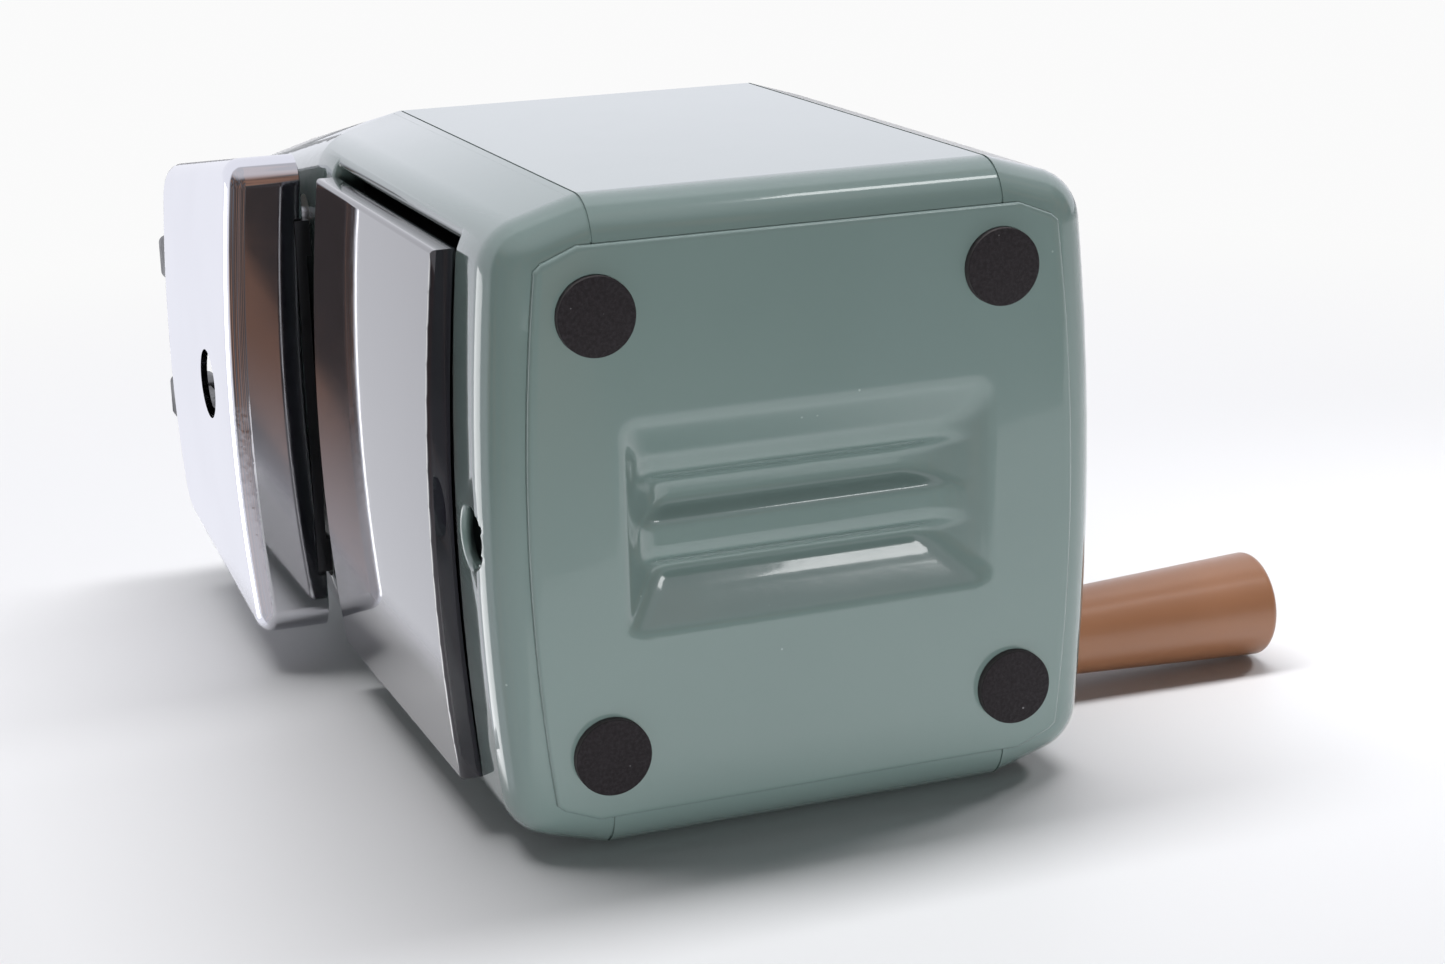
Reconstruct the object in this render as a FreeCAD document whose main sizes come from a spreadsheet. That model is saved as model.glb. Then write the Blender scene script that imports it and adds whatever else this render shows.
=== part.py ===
import FreeCAD, Part
import math
import os
import re
import Sketcher

# Hand-cranked desk pencil sharpener: painted shell in three sections on a pressed base plate, chips drawer,
# spring-loaded feed unit with a pinch chuck, and a planetary helical cutter turned by a rear crank.
# A size written as "=..." follows the ones it names. Cuts run 1 mm or more past the faces that they open.
# Frame: origin on the table at the centre of the feet, +Z up, front (pencil side) towards -Y, millimetres.

SIZES = {
    # pencil axis, and what is set out from it: the bend in the shell and the top of the drawer
    "axis_height": 85, "bend_below": 15, "bend_height": "=axis_height - bend_below",
    "drawer_below": 23, "drawer_top": "=axis_height - drawer_below",
    # shell: plan outline, side taper above the bend, sheet thickness and roundings
    "half_width": 33.6, "half_depth": 33.7, "corner_inset": 3, "crown": 1.7, "seam": 21.8,
    "seam_gap": 0.25, "rim_height": 1.8, "top_height": 120, "top_half_width": 23.4, "wall": 1.2,
    "corner_round": 5.6, "rim_round": 4.5, "top_round": 4.4, "rim_flange": 6.5,
    # base plate, its pressed recess and the feet
    "plate_margin": 4.25, "plate_half_width": "=half_width - plate_margin", "plate_shoulder": 23.4,
    "plate_corner_inset": 1.85, "plate_corner_x": "=plate_half_width - plate_corner_inset",
    "plate_corner_y": 27.9, "plate_crown": 1.9, "plate_sheet": 0.8, "plate_round": 2,
    "recess_half_x": 10.4, "recess_half_y": 19.9, "recess_slope": 3.2, "ridge_depth": 3,
    "valley_depth": 5.5, "channel_slope": 1, "channel_a_x": 1.75, "channel_a_half": 2.9,
    "channel_b_x": -5.9, "channel_b_half": 1.9, "foot_thick": 1, "foot_radius": 4, "foot_x": 22.5,
    "foot_y": 22,
    # clamp socket low in the front
    "clamp_height": 7.8, "clamp_radius": 3.05, "clamp_wall": 1.1, "clamp_length": 11,
    "clamp_setback": 2.2,
    # chips drawer, its rails and the shelf above it
    "drawer_half_width": 27.8, "drawer_bottom": 13.9, "drawer_plate": 2.4, "drawer_gap": 0.45,
    "lip_round": 1, "plate_edge": 0.5, "bin_inset": 1.3, "bin_round": 4, "bin_wall": 1.3,
    "bin_depth": 57, "bin_drop": 2, "glue_gap": 0.25, "rail_cover": 2.1, "rail_thick": 1.2,
    "slide_gap": 0.3, "shelf_gap": 0.8, "shelf_thick": 1, "chips_half": 17,
    # mechanism frame and bushes, on the pencil axis
    "frame_front": 31.3, "frame_ring": 4.3, "frame_bore": 6, "frame_radius": 20, "bar_inner": 19.2,
    "bar_thick": 2.4, "bar_half_height": 5, "web_front": 23.2, "web_thick": 3, "seat_wall": 2.5,
    "hub_end": 32.1, "hub_wall": 1.9, "bush_wall": 1.6, "run_gap": 0.05, "entry_radius": 6,
    # cutter carrier and drive shaft
    "nose_radius": 7.5, "nose_front": 30.8, "pencil_bore": 4.6, "disc_front": 18, "disc_rear": 14,
    "disc_radius": 16.5, "tail_front": 19, "tail_rear": 22, "tail_radius": 11, "spine_inner": 6.2,
    "spine_outer": 10.2, "spine_above": 2.2, "shaft_radius": 4, "shaft_gap": 0.6, "stub_radius": 3,
    "shaft_bolt_depth": 8,
    # cutter and bevelled planetary gears: near and far are distances from the common cone apex
    "apex_y": 49.4, "cutter_tilt": 10.5, "cutter_radius": 7, "cutter_near": 38, "cutter_far": 62.4,
    "cutter_pin_radius": 1.5, "cutter_pin_near": 28.2, "cutter_pin_far": 68, "pinion_near": 32.9,
    "ring_near": 31.9, "ring_far": 35.8, "ring_outer": 15.5, "ring_teeth": 26, "pinion_teeth": 12,
    "flute_count": 14, "flute_depth": 0.9, "flute_twist": 115,
    # crank, its screw, and the turning knob
    "crank_radius": 64.1, "crank_angle": 25.2, "arm_front": 37.2, "arm_thick": 2,
    "arm_hub_radius": 8, "arm_tip_radius": 6, "flange_proud": 2.5, "flange_thick": 0.8,
    "collar_radius": 6.5, "collar_gap": 0.5, "bolt_head_radius": 4.5, "bolt_head": 2.4,
    "bolt_head_taper": 1.2, "bolt_radius": 1.5, "knob_pin_radius": 2.2, "knob_gap": 0.2,
    "knob_end": 68.2, "knob_inner_radius": 4.9, "knob_outer_radius": 6.2, "knob_pin_end": 60,
    "rivet_radius": 3.4, "rivet_head": 0.8, "washer_thick": 0.5,
    # feed unit: plated pan, black frame, two guide rods with their bushes, clips and springs
    "pan_below": 14, "pan_bottom": "=axis_height - pan_below", "pan_above": 27,
    "pan_top": "=axis_height + pan_above", "pan_margin_low": 1.1,
    "pan_half_bottom": "=half_width - corner_inset - pan_margin_low", "pan_margin_high": 0.4,
    "pan_half_top": "=top_half_width - pan_margin_high", "pan_edge": 42.3, "pan_crown": 1.9,
    "pan_rear": 34.3, "pan_wall": 0.8, "pan_round": 2.2, "pan_corner": 5, "pan_corner_low": 3.2,
    "fit_gap": 0.3, "pencil_hole": 4.25, "lip_half": 21.5, "lip_front": 35.2, "lip_height": 3,
    "lug_width": 4.2, "lug_rear": 33.45, "frame_rear": 34, "rod_x": 20.5, "rod_below": 8.5,
    "rod_z": "=axis_height - rod_below", "rod_radius": 1.75, "rod_front": 40, "rod_end": 21,
    "rod_bush_radius": 3.2, "rod_bush_front": 32.6, "rod_bush_end": 27, "clip_radius": 3.2,
    "clip_thick": 1.2, "spring_radius": 2.55, "spring_wire": 0.35, "spring_turns": 11,
    # chuck: three jaws opened by two pinch levers
    "chuck_radius": 10.6, "chuck_rear": 38.2, "jaw_bore": 3.8, "jaw_length": 5.2, "jaw_half": 2.4,
    "jaw_front": 41, "jaw_rear": 38.5, "lever_x": 9.5, "lever_above": 14,
    "lever_z": "=axis_height + lever_above", "lever_half": 2.6, "lever_drop": 2.5,
    "lever_front": 40.8, "lever_rear": 38.8, "lever_proud": 1,
    "lever_top": "=top_height + lever_proud", "tab_front": 42.8, "tab_rear": 36.8, "tab_half": 2.9,
    "tab_round": 1, "tab_lift": 0.9, "lever_pin_radius": 1.2, "slot_half": 14.5,
    # countersunk screws from the front cover into the mechanism frame
    "screw_x": 13.5, "screw_above": 10.5, "screw_z": "=axis_height + screw_above",
    "screw_radius": 1.5, "screw_head_radius": 2.8, "screw_front": 33.1, "screw_end": 25,
    "screw_gap": 0.1,
}

FRONT = -1
REAR = 1
TURNED = {"x": FreeCAD.Rotation(FreeCAD.Vector(0, 1, 0), 90),
          "y": FreeCAD.Rotation(FreeCAD.Vector(1, 0, 0), -90),
          "z": FreeCAD.Rotation()}
UP = FreeCAD.Vector(0, 0, 1)

doc = FreeCAD.newDocument("pencil_sharpener")
sheet = doc.addObject("Spreadsheet::Sheet", "dims")
for row, (alias, value) in enumerate(SIZES.items(), 1):
    sheet.set(f"A{row}", alias)
    sheet.set(f"B{row}", str(value))
    sheet.setAlias(f"B{row}", alias)
doc.recompute()
sub_parts = []


# ---- shared ways of drawing -------------------------------------------------------------------------------

def link(text):
    """Turn an expression in the sheet's words into one the document follows."""
    return re.sub(r"[a-z]\w*", lambda word: f"dims.{word[0]}" if word[0] in SIZES else word[0], text)


def amount(text):
    """The present value of an expression, for first shapes and for picking edges."""
    result = sheet.evalExpression(link(text))
    return float(getattr(result, "Value", result))


def keep(shape, label):
    """Register a finished object as the sub-part that is written under this label."""
    shape.Label = label
    sub_parts.append(shape)
    return shape


def place(shape, axis, at):
    shape.Placement = FreeCAD.Placement(FreeCAD.Vector(), TURNED[axis])
    for side, text in zip("xyz", at):
        shape.setExpression(f"Placement.Base.{side}", link(text))


def box(name, x, y, z):
    """A block between two expressions along each axis."""
    solid = doc.addObject("Part::Box", name)
    for side, size, (low, high) in zip("xyz", ("Length", "Width", "Height"), (x, y, z)):
        solid.setExpression(size, link(f"({high}) - ({low})"))
        solid.setExpression(f"Placement.Base.{side}", link(low))
    return solid


def rod(name, radius, axis, low, high, across=("0", "0"), end_radius=None):
    """A cylinder, or a cone with end_radius, from low to high along an axis."""
    solid = doc.addObject("Part::Cone" if end_radius else "Part::Cylinder", name)
    solid.setExpression("Radius1" if end_radius else "Radius", link(radius))
    if end_radius:
        solid.setExpression("Radius2", link(end_radius))
    solid.setExpression("Height", link(f"({high}) - ({low})"))
    at = list(across)
    at.insert("xyz".index(axis), low)
    place(solid, axis, at)
    return solid


def fuse(name, *solids):
    whole = doc.addObject("Part::MultiFuse", name)
    whole.Shapes = list(solids)
    return whole


def cut(name, base, *tools):
    whole = doc.addObject("Part::Cut", name)
    whole.Base = base
    whole.Tool = tools[0] if len(tools) == 1 else fuse(f"{name}_tools", *tools)
    return whole


def group(name, solids):
    whole = doc.addObject("Part::Compound", name)
    whole.Links = list(solids)
    return whole


def sleeve(name, inner, outer, axis, low, high, across=("0", "0")):
    return cut(name, rod(f"{name}_outer", outer, axis, low, high, across),
               rod(f"{name}_bore", inner, axis, f"{low} - 1", f"{high} + 1", across))


def new_body(name):
    return doc.addObject("PartDesign::Body", name)


def sketch_on(body, name, plane, offset="0"):
    sketch = body.newObject("Sketcher::SketchObject", f"{body.Name}_{name}")
    base = next(item for item in body.Origin.OriginFeatures if item.Role == f"{plane}_Plane")
    sketch.AttachmentSupport = (base, [""])
    sketch.MapMode = "FlatFace"
    sketch.setExpression("AttachmentOffset.Base.z", link(offset))
    return sketch


def bind(sketch, kind, *where, text):
    index = sketch.addConstraint(Sketcher.Constraint(kind, *where, amount(text)))
    sketch.setExpression(f"Constraints[{index}]", link(text))


def circle(body, name, plane, radius, x="0", y="0", offset="0"):
    sketch = sketch_on(body, name, plane, offset)
    centre = FreeCAD.Vector(amount(x), amount(y), 0)
    sketch.addGeometry(Part.Circle(centre, UP, amount(radius)))
    bind(sketch, "DistanceX", 0, 3, text=x)
    bind(sketch, "DistanceY", 0, 3, text=y)
    bind(sketch, "Radius", 0, text=radius)
    doc.recompute()
    return sketch


def arc_between(start, middle, end):
    """An anticlockwise arc through three points, whichever way they are given."""
    shape = Part.Arc(start, middle, end).toShape().Curve
    centre = shape.Center
    turn = (start - centre).cross(middle - centre).z
    first, last = (start, end) if turn > 0 else (end, start)
    angles = [math.atan2(*reversed((point - centre)[:2])) for point in (first, last)]
    return Part.ArcOfCircle(Part.Circle(centre, UP, shape.Radius), *angles)


def outline(body, name, plane, corners, bows=None, offset="0"):
    """A closed sketch, anticlockwise. A corner is (x, y) or (x, y, round); bows gives, by edge number,
    how far an edge swells outwards in the middle."""
    bows = bows or {}
    sketch = sketch_on(body, name, plane, offset)
    points = [FreeCAD.Vector(amount(corner[0]), amount(corner[1]), 0) for corner in corners]
    count = len(points)
    arrive, leave, middles = {}, {}, {}
    for n, corner in enumerate(corners):
        arrive[n] = leave[n] = points[n]
        if len(corner) == 3:
            back = (points[n - 1] - points[n]).normalize()
            ahead = (points[(n + 1) % count] - points[n]).normalize()
            half_angle = back.getAngle(ahead) / 2
            reach = amount(corner[2]) / math.tan(half_angle)
            arrive[n] = points[n] + back * reach
            leave[n] = points[n] + ahead * reach
            inward = (back + ahead).normalize()
            depth = amount(corner[2]) * (1 / math.sin(half_angle) - 1)
            middles[n] = points[n] + inward * depth
    edges, rounds = {}, {}
    for n in range(count):
        start, end = leave[n], arrive[(n + 1) % count]
        if n in bows:
            along = (points[(n + 1) % count] - points[n]).normalize()
            swell = FreeCAD.Vector(along.y, -along.x, 0) * amount(bows[n])
            edges[n] = sketch.addGeometry(arc_between(start, (start + end) / 2 + swell, end))
        else:
            edges[n] = sketch.addGeometry(Part.LineSegment(start, end))
    for n, middle in middles.items():
        rounds[n] = sketch.addGeometry(arc_between(arrive[n], middle, leave[n]))

    def tip(geometry, point):
        curve = sketch.Geometry[geometry]
        return 1 if curve.StartPoint.distanceToPoint(point) < curve.EndPoint.distanceToPoint(point) else 2

    for n, corner in enumerate(corners):
        before, after = edges[(n - 1) % count], edges[n]
        if n in rounds:
            arc = rounds[n]
            for edge, point in ((before, arrive[n]), (after, leave[n])):
                ends = (edge, tip(edge, point), arc, tip(arc, point))
                sketch.addConstraint(Sketcher.Constraint("Tangent", *ends))
            bind(sketch, "Radius", arc, text=corner[2])
            mark = sketch.addGeometry(Part.Point(points[n]), True)
            bind(sketch, "DistanceX", mark, 1, text=corner[0])
            bind(sketch, "DistanceY", mark, 1, text=corner[1])
            sketch.addConstraint(Sketcher.Constraint("PointOnObject", mark, 1, before))
            sketch.addConstraint(Sketcher.Constraint("PointOnObject", mark, 1, after))
        else:
            last = tip(before, arrive[n])
            first = tip(after, leave[n])
            sketch.addConstraint(Sketcher.Constraint("Coincident", before, last, after, first))
            bind(sketch, "DistanceX", after, first, text=corner[0])
            bind(sketch, "DistanceY", after, first, text=corner[1])
    for n, bow in bows.items():
        (x0, y0), (x1, y1) = corners[n][:2], corners[(n + 1) % count][:2]
        chord = f"((({x1}) - ({x0}))^2 + (({y1}) - ({y0}))^2) / 4"
        bind(sketch, "Radius", edges[n], text=f"({chord} + ({bow})^2) / (2 * abs({bow}))")
    doc.recompute()
    return sketch


def grow(body, kind, sketch, length=None, sections=(), back=False):
    """A pad, pocket, or loft through further sketches."""
    feature = body.newObject(f"PartDesign::{kind}", f"{sketch.Name}_{kind.lower()}")
    feature.Profile = sketch
    if sections:
        feature.Sections = list(sections)
        feature.Ruled = True
    else:
        feature.setExpression("Length", link(length))
        feature.Reversed = back
    doc.recompute()
    return feature


def soften(body, feature, radius, chosen):
    """Fillet the edges of a feature whose centre passes the test."""
    names = [f"Edge{n}" for n, edge in enumerate(feature.Shape.Edges, 1) if chosen(edge.CenterOfMass, edge)]
    fillet = body.newObject("PartDesign::Fillet", f"{feature.Name}_round")
    fillet.Base = (feature, names)
    fillet.setExpression("Radius", link(radius))
    doc.recompute()
    return fillet


def near(value, text, slack=0.02):
    return abs(value - amount(text)) < slack


def runs_along(edge, axis):
    direction = edge.tangentAt(edge.ParameterRange[0])
    return abs(direction["xyz".index(axis)]) > 0.95


# ---- shell ------------------------------------------------------------------------------------------------

def cover_block(name, side, inset="0", reach="seam + seam_gap"):
    """The solid of a front or rear cover: upright to the bend, then drawn in towards the top."""
    body = new_body(name)

    def plan(label, height, lean):
        right = f"half_width - ({inset}) - ({lean})"
        corner = f"half_width - corner_inset - ({inset}) - ({lean})"
        deep = f"half_depth - crown - ({inset})"
        edge = f"corner_round - ({inset})"
        points = [(right, reach), (corner, deep, edge), (f"-({corner})", deep, edge), (f"-({right})", reach)]
        points = [(f"{side} * ({point[0]})", f"{side} * ({point[1]})", *point[2:]) for point in points]
        return outline(body, label, "XY", points, bows={1: "crown"}, offset=height)

    bottom = f"rim_height + ({inset})"
    top = f"top_height - ({inset})"
    upright = plan("foot", bottom, "0")
    grow(body, "Pad", upright, f"bend_height - ({bottom})")
    shoulder = plan("bend", "bend_height", "0")
    head = plan("head", top, "half_width - top_half_width")
    block = grow(body, "AdditiveLoft", shoulder, sections=[head])
    off_seam = abs(amount(reach)) + 0.5
    block = soften(body, block, f"rim_round - ({inset})",
                   lambda at, edge: near(at.z, bottom) and side * at.y > off_seam)
    return soften(body, block, f"top_round - ({inset})",
                  lambda at, edge: near(at.z, top) and side * at.y > off_seam)


def bottom_opening(name, low, high):
    reach = "half_width - rim_flange"
    return box(name, (f"-({reach})", reach), (low, high), ("0", "rim_height + wall + 1"))


drawer_x = "drawer_half_width + drawer_gap"
drawer_low = "drawer_bottom - drawer_gap"
drawer_high = "drawer_top + drawer_gap"


def make_front_cover():
    outside = cover_block("front_cover_outside", FRONT)
    body = outside.getParent()
    ahead = "half_depth + 1"
    corners = [(f"-({drawer_x})", drawer_low), (drawer_x, drawer_low),
               (drawer_x, drawer_high), (f"-({drawer_x})", drawer_high)]
    mouth = outline(body, "mouth", "XZ", corners, offset=ahead)
    opened = grow(body, "Pocket", mouth, "half_depth")
    limit = amount("half_depth - crown - 1.5")
    low, high = amount(drawer_low) - 0.1, amount(drawer_high) + 0.1
    wide = amount(drawer_x) + 0.1
    soften(body, opened, "lip_round",
           lambda at, edge: at.y < -limit and low < at.z < high and abs(at.x) < wide
           and not runs_along(edge, "y"))
    hollow = cover_block("front_cover_inside", FRONT, "wall", "seam - 3").getParent()
    through = ("-half_depth - 1", "-half_depth + 4")
    flange = box("front_cover_flange", (f"-({drawer_x} + wall)", f"{drawer_x} + wall"),
                 ("-half_depth - 1", "-half_depth + 5"), (f"{drawer_low} - wall", f"{drawer_high} + wall"))
    tools = [cut("front_cover_hollow", hollow, flange),
             bottom_opening("front_cover_bottom", "-half_depth + rim_flange", "-seam + 1"),
             rod("front_cover_entry", "entry_radius", "y", *through, ("0", "axis_height")),
             rod("front_cover_clamp", "clamp_radius", "y", "-half_depth - 1", "-seam",
                 ("0", "clamp_height"))]
    for side in (-1, 1):
        across = (f"{side} * rod_x", "rod_z")
        tools.append(rod("front_cover_rod_hole", "rod_bush_radius", "y", *through, across))
        across = (f"{side} * screw_x", "screw_z")
        tools.append(rod("front_cover_screw_hole", "screw_radius + screw_gap", "y", *through, across))
        sink = "screw_head_radius + screw_gap"
        tools.append(rod("front_cover_sink", sink, "y", "-screw_front - screw_gap",
                         "-screw_front + screw_head_radius - screw_radius", across,
                         "screw_radius + screw_gap"))
        tools.append(rod("front_cover_sink_mouth", sink, "y", "-half_depth - 1",
                         "-screw_front - screw_gap", across))
    keep(cut("front_cover", body, *tools), "front_cover")


def make_rear_cover():
    body = cover_block("rear_cover_outside", REAR).getParent()
    hollow = cover_block("rear_cover_inside", REAR, "wall", "seam - 3").getParent()
    keep(cut("rear_cover", body, hollow,
             bottom_opening("rear_cover_bottom", "seam - 1", "half_depth - rim_flange"),
             rod("rear_cover_bore", "shaft_radius + shaft_gap", "y", "seam", "half_depth + 1",
                 ("0", "axis_height"))),
         "rear_cover")


def make_body_wrap():
    body = new_body("body_wrap")

    def section(label, inset, offset):
        side = f"half_width - ({inset})"
        low, high = f"rim_height + ({inset})", f"top_height - ({inset})"
        lean = f"top_half_width - ({inset})"
        points = [(f"-({side})", low, f"rim_round - ({inset})"), (side, low, f"rim_round - ({inset})"),
                  (side, "bend_height"), (lean, high, f"top_round - ({inset})"),
                  (f"-({lean})", high, f"top_round - ({inset})"), (f"-({side})", "bend_height")]
        return outline(body, label, "XZ", points, offset=offset)

    grow(body, "Pad", section("outside", "0", "-seam"), "2 * seam")
    grow(body, "Pocket", section("inside", "wall", "seam + 1"), "2 * seam + 2")
    reach = "half_width - rim_flange"
    opening = outline(body, "open_bottom", "XY", [(f"-({reach})", "-seam - 1"), (reach, "-seam - 1"),
                                                  (reach, "seam + 1"), (f"-({reach})", "seam + 1")])
    grow(body, "Pocket", opening, "rim_height + wall + 1", back=True)
    keep(body, "body_wrap")


def rectangle(body, name, low_x, high_x, half_y, offset):
    return outline(body, name, "XY", [(low_x, f"-({half_y})"), (high_x, f"-({half_y})"),
                                      (high_x, half_y), (low_x, half_y)], offset=offset)


def make_base_plate():
    """Pressed sheet: flat rim on the shell's turned-in flange, tub in the middle with two deep channels."""
    body = new_body("base_plate")
    wide, shoulder, far, deep = "plate_half_width", "plate_shoulder", "plate_corner_x", "plate_corner_y"
    quarter = [(wide, shoulder, "plate_round"), (far, deep, "plate_round")]
    signs = ((1, 1), (-1, 1), (-1, -1), (1, -1))
    corners = []
    for sign_x, sign_y in signs:
        run = quarter if sign_x * sign_y > 0 else quarter[::-1]
        corners += [(f"{sign_x} * {x}", f"{sign_y} * {y}", edge) for x, y, edge in run]
    sheet_outline = outline(body, "rim", "XY", corners, bows={1: "plate_crown", 5: "plate_crown"},
                            offset="foot_thick")
    grow(body, "Pad", sheet_outline, "plate_sheet")

    def frustum(label, kind, half_x, half_y, low, high, slope, centre="0"):
        ends = [rectangle(body, f"{label}_{level}", f"{centre} - ({half_x}) + {lean}",
                          f"{centre} + ({half_x}) - {lean}", f"({half_y}) - {lean}", height)
                for level, height, lean in (("mouth", low, "0"), ("floor", high, slope))]
        grow(body, kind, ends[0], sections=[ends[1]])

    top = "foot_thick + plate_sheet"
    frustum("tub", "AdditiveLoft", "recess_half_x + plate_sheet", "recess_half_y + plate_sheet", top,
            f"{top} + valley_depth", "recess_slope")
    floor = "foot_thick + ridge_depth"
    frustum("well", "SubtractiveLoft", "recess_half_x", "recess_half_y", "foot_thick", floor,
            "recess_slope * ridge_depth / valley_depth")
    for label, centre, half in (("channel_a", "channel_a_x", "channel_a_half"),
                                ("channel_b", "channel_b_x", "channel_b_half")):
        frustum(label, "SubtractiveLoft", half, "recess_half_y - recess_slope + channel_slope", floor,
                "foot_thick + valley_depth", "channel_slope", centre)
    keep(body, "base_plate")


def make_feet():
    feet = [rod("rubber_foot", "foot_radius", "z", "0", "foot_thick", (f"{x} * foot_x", f"{y} * foot_y"))
            for x in (-1, 1) for y in (-1, 1)]
    keep(group("rubber_feet", feet), "rubber_feet")


def make_clamp_socket():
    """Plated tube on a strap, behind the hole in the front: the hook of the table clamp goes in here."""
    start, end = "-half_depth + wall + clamp_setback", "-half_depth + wall + clamp_length"
    hug = "clamp_radius + clamp_wall"
    tube = sleeve("clamp_tube", "clamp_radius", hug, "y", start, end, ("0", "clamp_height"))
    strap = cut("clamp_strap", box("clamp_strap_blank", (f"-({hug}) - 4", f"{hug} + 4"), (f"{end} - 3", end),
                                   ("foot_thick + plate_sheet", "clamp_height")),
                rod("clamp_strap_bore", hug, "y", start, "0", ("0", "clamp_height")))
    keep(fuse("clamp_socket", tube, strap), "clamp_socket")


# ---- drawer -----------------------------------------------------------------------------------------------

def make_drawer():
    plate = new_body("drawer_front")
    half, back = "drawer_half_width", "half_depth - crown"
    face = f"{back} + drawer_plate"
    corners = [(f"-{half}", f"-({face})"), (half, f"-({face})"),
               (half, f"-({back})"), (f"-{half}", f"-({back})")]
    curved = outline(plate, "plan", "XY", corners, bows={0: "crown", 2: "-crown"}, offset="drawer_bottom")
    slab = grow(plate, "Pad", curved, "drawer_top - drawer_bottom")
    front_limit = amount(face) - 0.1
    soften(plate, slab, "plate_edge", lambda at, edge: at.y < -front_limit)
    keep(plate, "drawer_front")

    tray = new_body("drawer_bin")
    wide = "drawer_half_width - bin_inset"
    front = f"{back} - glue_gap / 2"
    rear = f"bin_depth - ({front})"
    floor, brim = "drawer_bottom + bin_wall / 2", "drawer_top - bin_drop"
    shell = outline(tray, "plan", "XY", [(f"-({wide})", f"-({front})"), (wide, f"-({front})"),
                                         (wide, rear, "bin_round"), (f"-({wide})", rear, "bin_round")],
                    bows={0: "crown - glue_gap"}, offset=floor)
    grow(tray, "Pad", shell, f"{brim} - ({floor})")
    inner, inner_rear = f"{wide} - bin_wall", f"{rear} - bin_wall"
    inner_front = f"{front} - bin_wall"
    inner_round = "bin_round - bin_wall"
    corners = [(f"-({inner})", f"-({inner_front})"), (inner, f"-({inner_front})"),
               (inner, inner_rear, inner_round), (f"-({inner})", inner_rear, inner_round)]
    hollow = outline(tray, "hollow", "XY", corners, offset=f"{floor} + bin_wall")
    grow(tray, "Pocket", hollow, f"{brim} - ({floor})", back=True)
    keep(tray, "drawer_bin")

    inside = "half_width - wall"
    rail_end = f"{wide} - rail_cover"
    top = f"{floor} - slide_gap"
    rails = [box("drawer_rail", ends, ("-seam", "seam"), (f"{top} - rail_thick", top))
             for ends in ((f"-({inside})", f"-({rail_end})"), (rail_end, inside))]
    keep(group("drawer_rails", rails), "drawer_rails")
    shelf_low = "drawer_top + shelf_gap"
    shelf = box("chip_shelf_sheet", (f"-({inside})", inside), ("-seam", "seam"),
                (shelf_low, f"{shelf_low} + shelf_thick"))
    gap = box("chip_shelf_gap", ("-chips_half", "chips_half"), ("-chips_half", "chips_half"),
              ("drawer_top", f"{shelf_low} + shelf_thick + 1"))
    keep(cut("chip_shelf", shelf, gap), "chip_shelf")


# ---- mechanism --------------------------------------------------------------------------------------------

centre = ("0", "axis_height")


def make_frame():
    """Die casting: front ring and rear web joined by two side bars, with the ring gear's seat and a hub."""
    ring_rear = "-frame_front + frame_ring"
    web_rear = "web_front + web_thick"
    solids = [rod("frame_ring_disc", "frame_radius", "y", "-frame_front", ring_rear, centre),
              rod("frame_web", "frame_radius", "y", "web_front", web_rear, centre),
              rod("frame_seat", "ring_outer + seat_wall", "y", "apex_y - ring_far", "web_front", centre),
              rod("frame_hub", "shaft_radius + bush_wall + hub_wall", "y", web_rear, "hub_end", centre)]
    for ends in (("-bar_inner - bar_thick", "-bar_inner"), ("bar_inner", "bar_inner + bar_thick")):
        solids.append(box("frame_bar", ends, ("-frame_front", web_rear),
                          ("axis_height - bar_half_height", "axis_height + bar_half_height")))
    through = ("-frame_front - 1", "-frame_front + frame_bore")
    tools = [rod("frame_front_bore", "nose_radius + run_gap + bush_wall", "y", *through, centre),
             rod("frame_gear_bore", "ring_outer", "y", "apex_y - ring_far - 1", "web_front", centre),
             rod("frame_rear_bore", "shaft_radius + bush_wall", "y", "web_front - 1", "hub_end + 1", centre)]
    for side in (-1, 1):
        tools.append(rod("frame_rod_notch", "rod_bush_radius + fit_gap", "y", *through,
                         (f"{side} * rod_x", "rod_z")))
        tools.append(rod("frame_screw_bore", "screw_radius", "y", *through,
                         (f"{side} * screw_x", "screw_z")))
    keep(cut("mechanism_frame", fuse("frame_solids", *solids), *tools), "mechanism_frame")


def make_bushes():
    keep(sleeve("front_bush", "nose_radius + run_gap", "nose_radius + run_gap + bush_wall", "y",
                "-frame_front", "-frame_front + frame_ring", centre), "front_bush")
    keep(sleeve("rear_bush", "shaft_radius + run_gap", "shaft_radius + bush_wall", "y",
                "web_front", "hub_end", centre), "rear_bush")


pinion_slope = "(sin(cutter_tilt) / (ring_teeth / pinion_teeth - cos(cutter_tilt)))"
ring_slope = f"(({pinion_slope} + tan(cutter_tilt)) / (1 - {pinion_slope} * tan(cutter_tilt)))"
flank = "0.364"


def gear_circle(distance, slope, teeth, height):
    """Radius of a bevel gear at a distance from its apex, height modules outside the pitch cone."""
    return f"({distance}) * {slope} * (1 + 2 * ({height}) / {teeth})"


def gear_form(body, label, distance, slope, teeth, share, low, high):
    """Section of one tooth, or one tooth space, that fills a share of the pitch, standing along +Y."""
    sides = []
    for height in (low, high):
        half = f"({distance}) * {slope} * (3.1416 * {share} - 2 * ({height}) * {flank}) / {teeth}"
        sides.append((half, gear_circle(distance, slope, teeth, height)))
    (foot, foot_y), (tip, tip_y) = sides
    corners = [(f"-({foot})", foot_y), (foot, foot_y), (tip, tip_y), (f"-({tip})", tip_y)]
    return outline(body, label, "XY", corners, offset=f"-({distance})")


def repeat_round(body, feature, times):
    pattern = body.newObject("PartDesign::PolarPattern", f"{body.Name}_pattern")
    pattern.Originals = [feature]
    pattern.Axis = (next(item for item in body.Origin.OriginFeatures if item.Role == "Z_Axis"), [""])
    pattern.Angle = 360
    pattern.setExpression("Occurrences", link(times))
    body.Tip = pattern
    doc.recompute()
    return pattern


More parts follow.
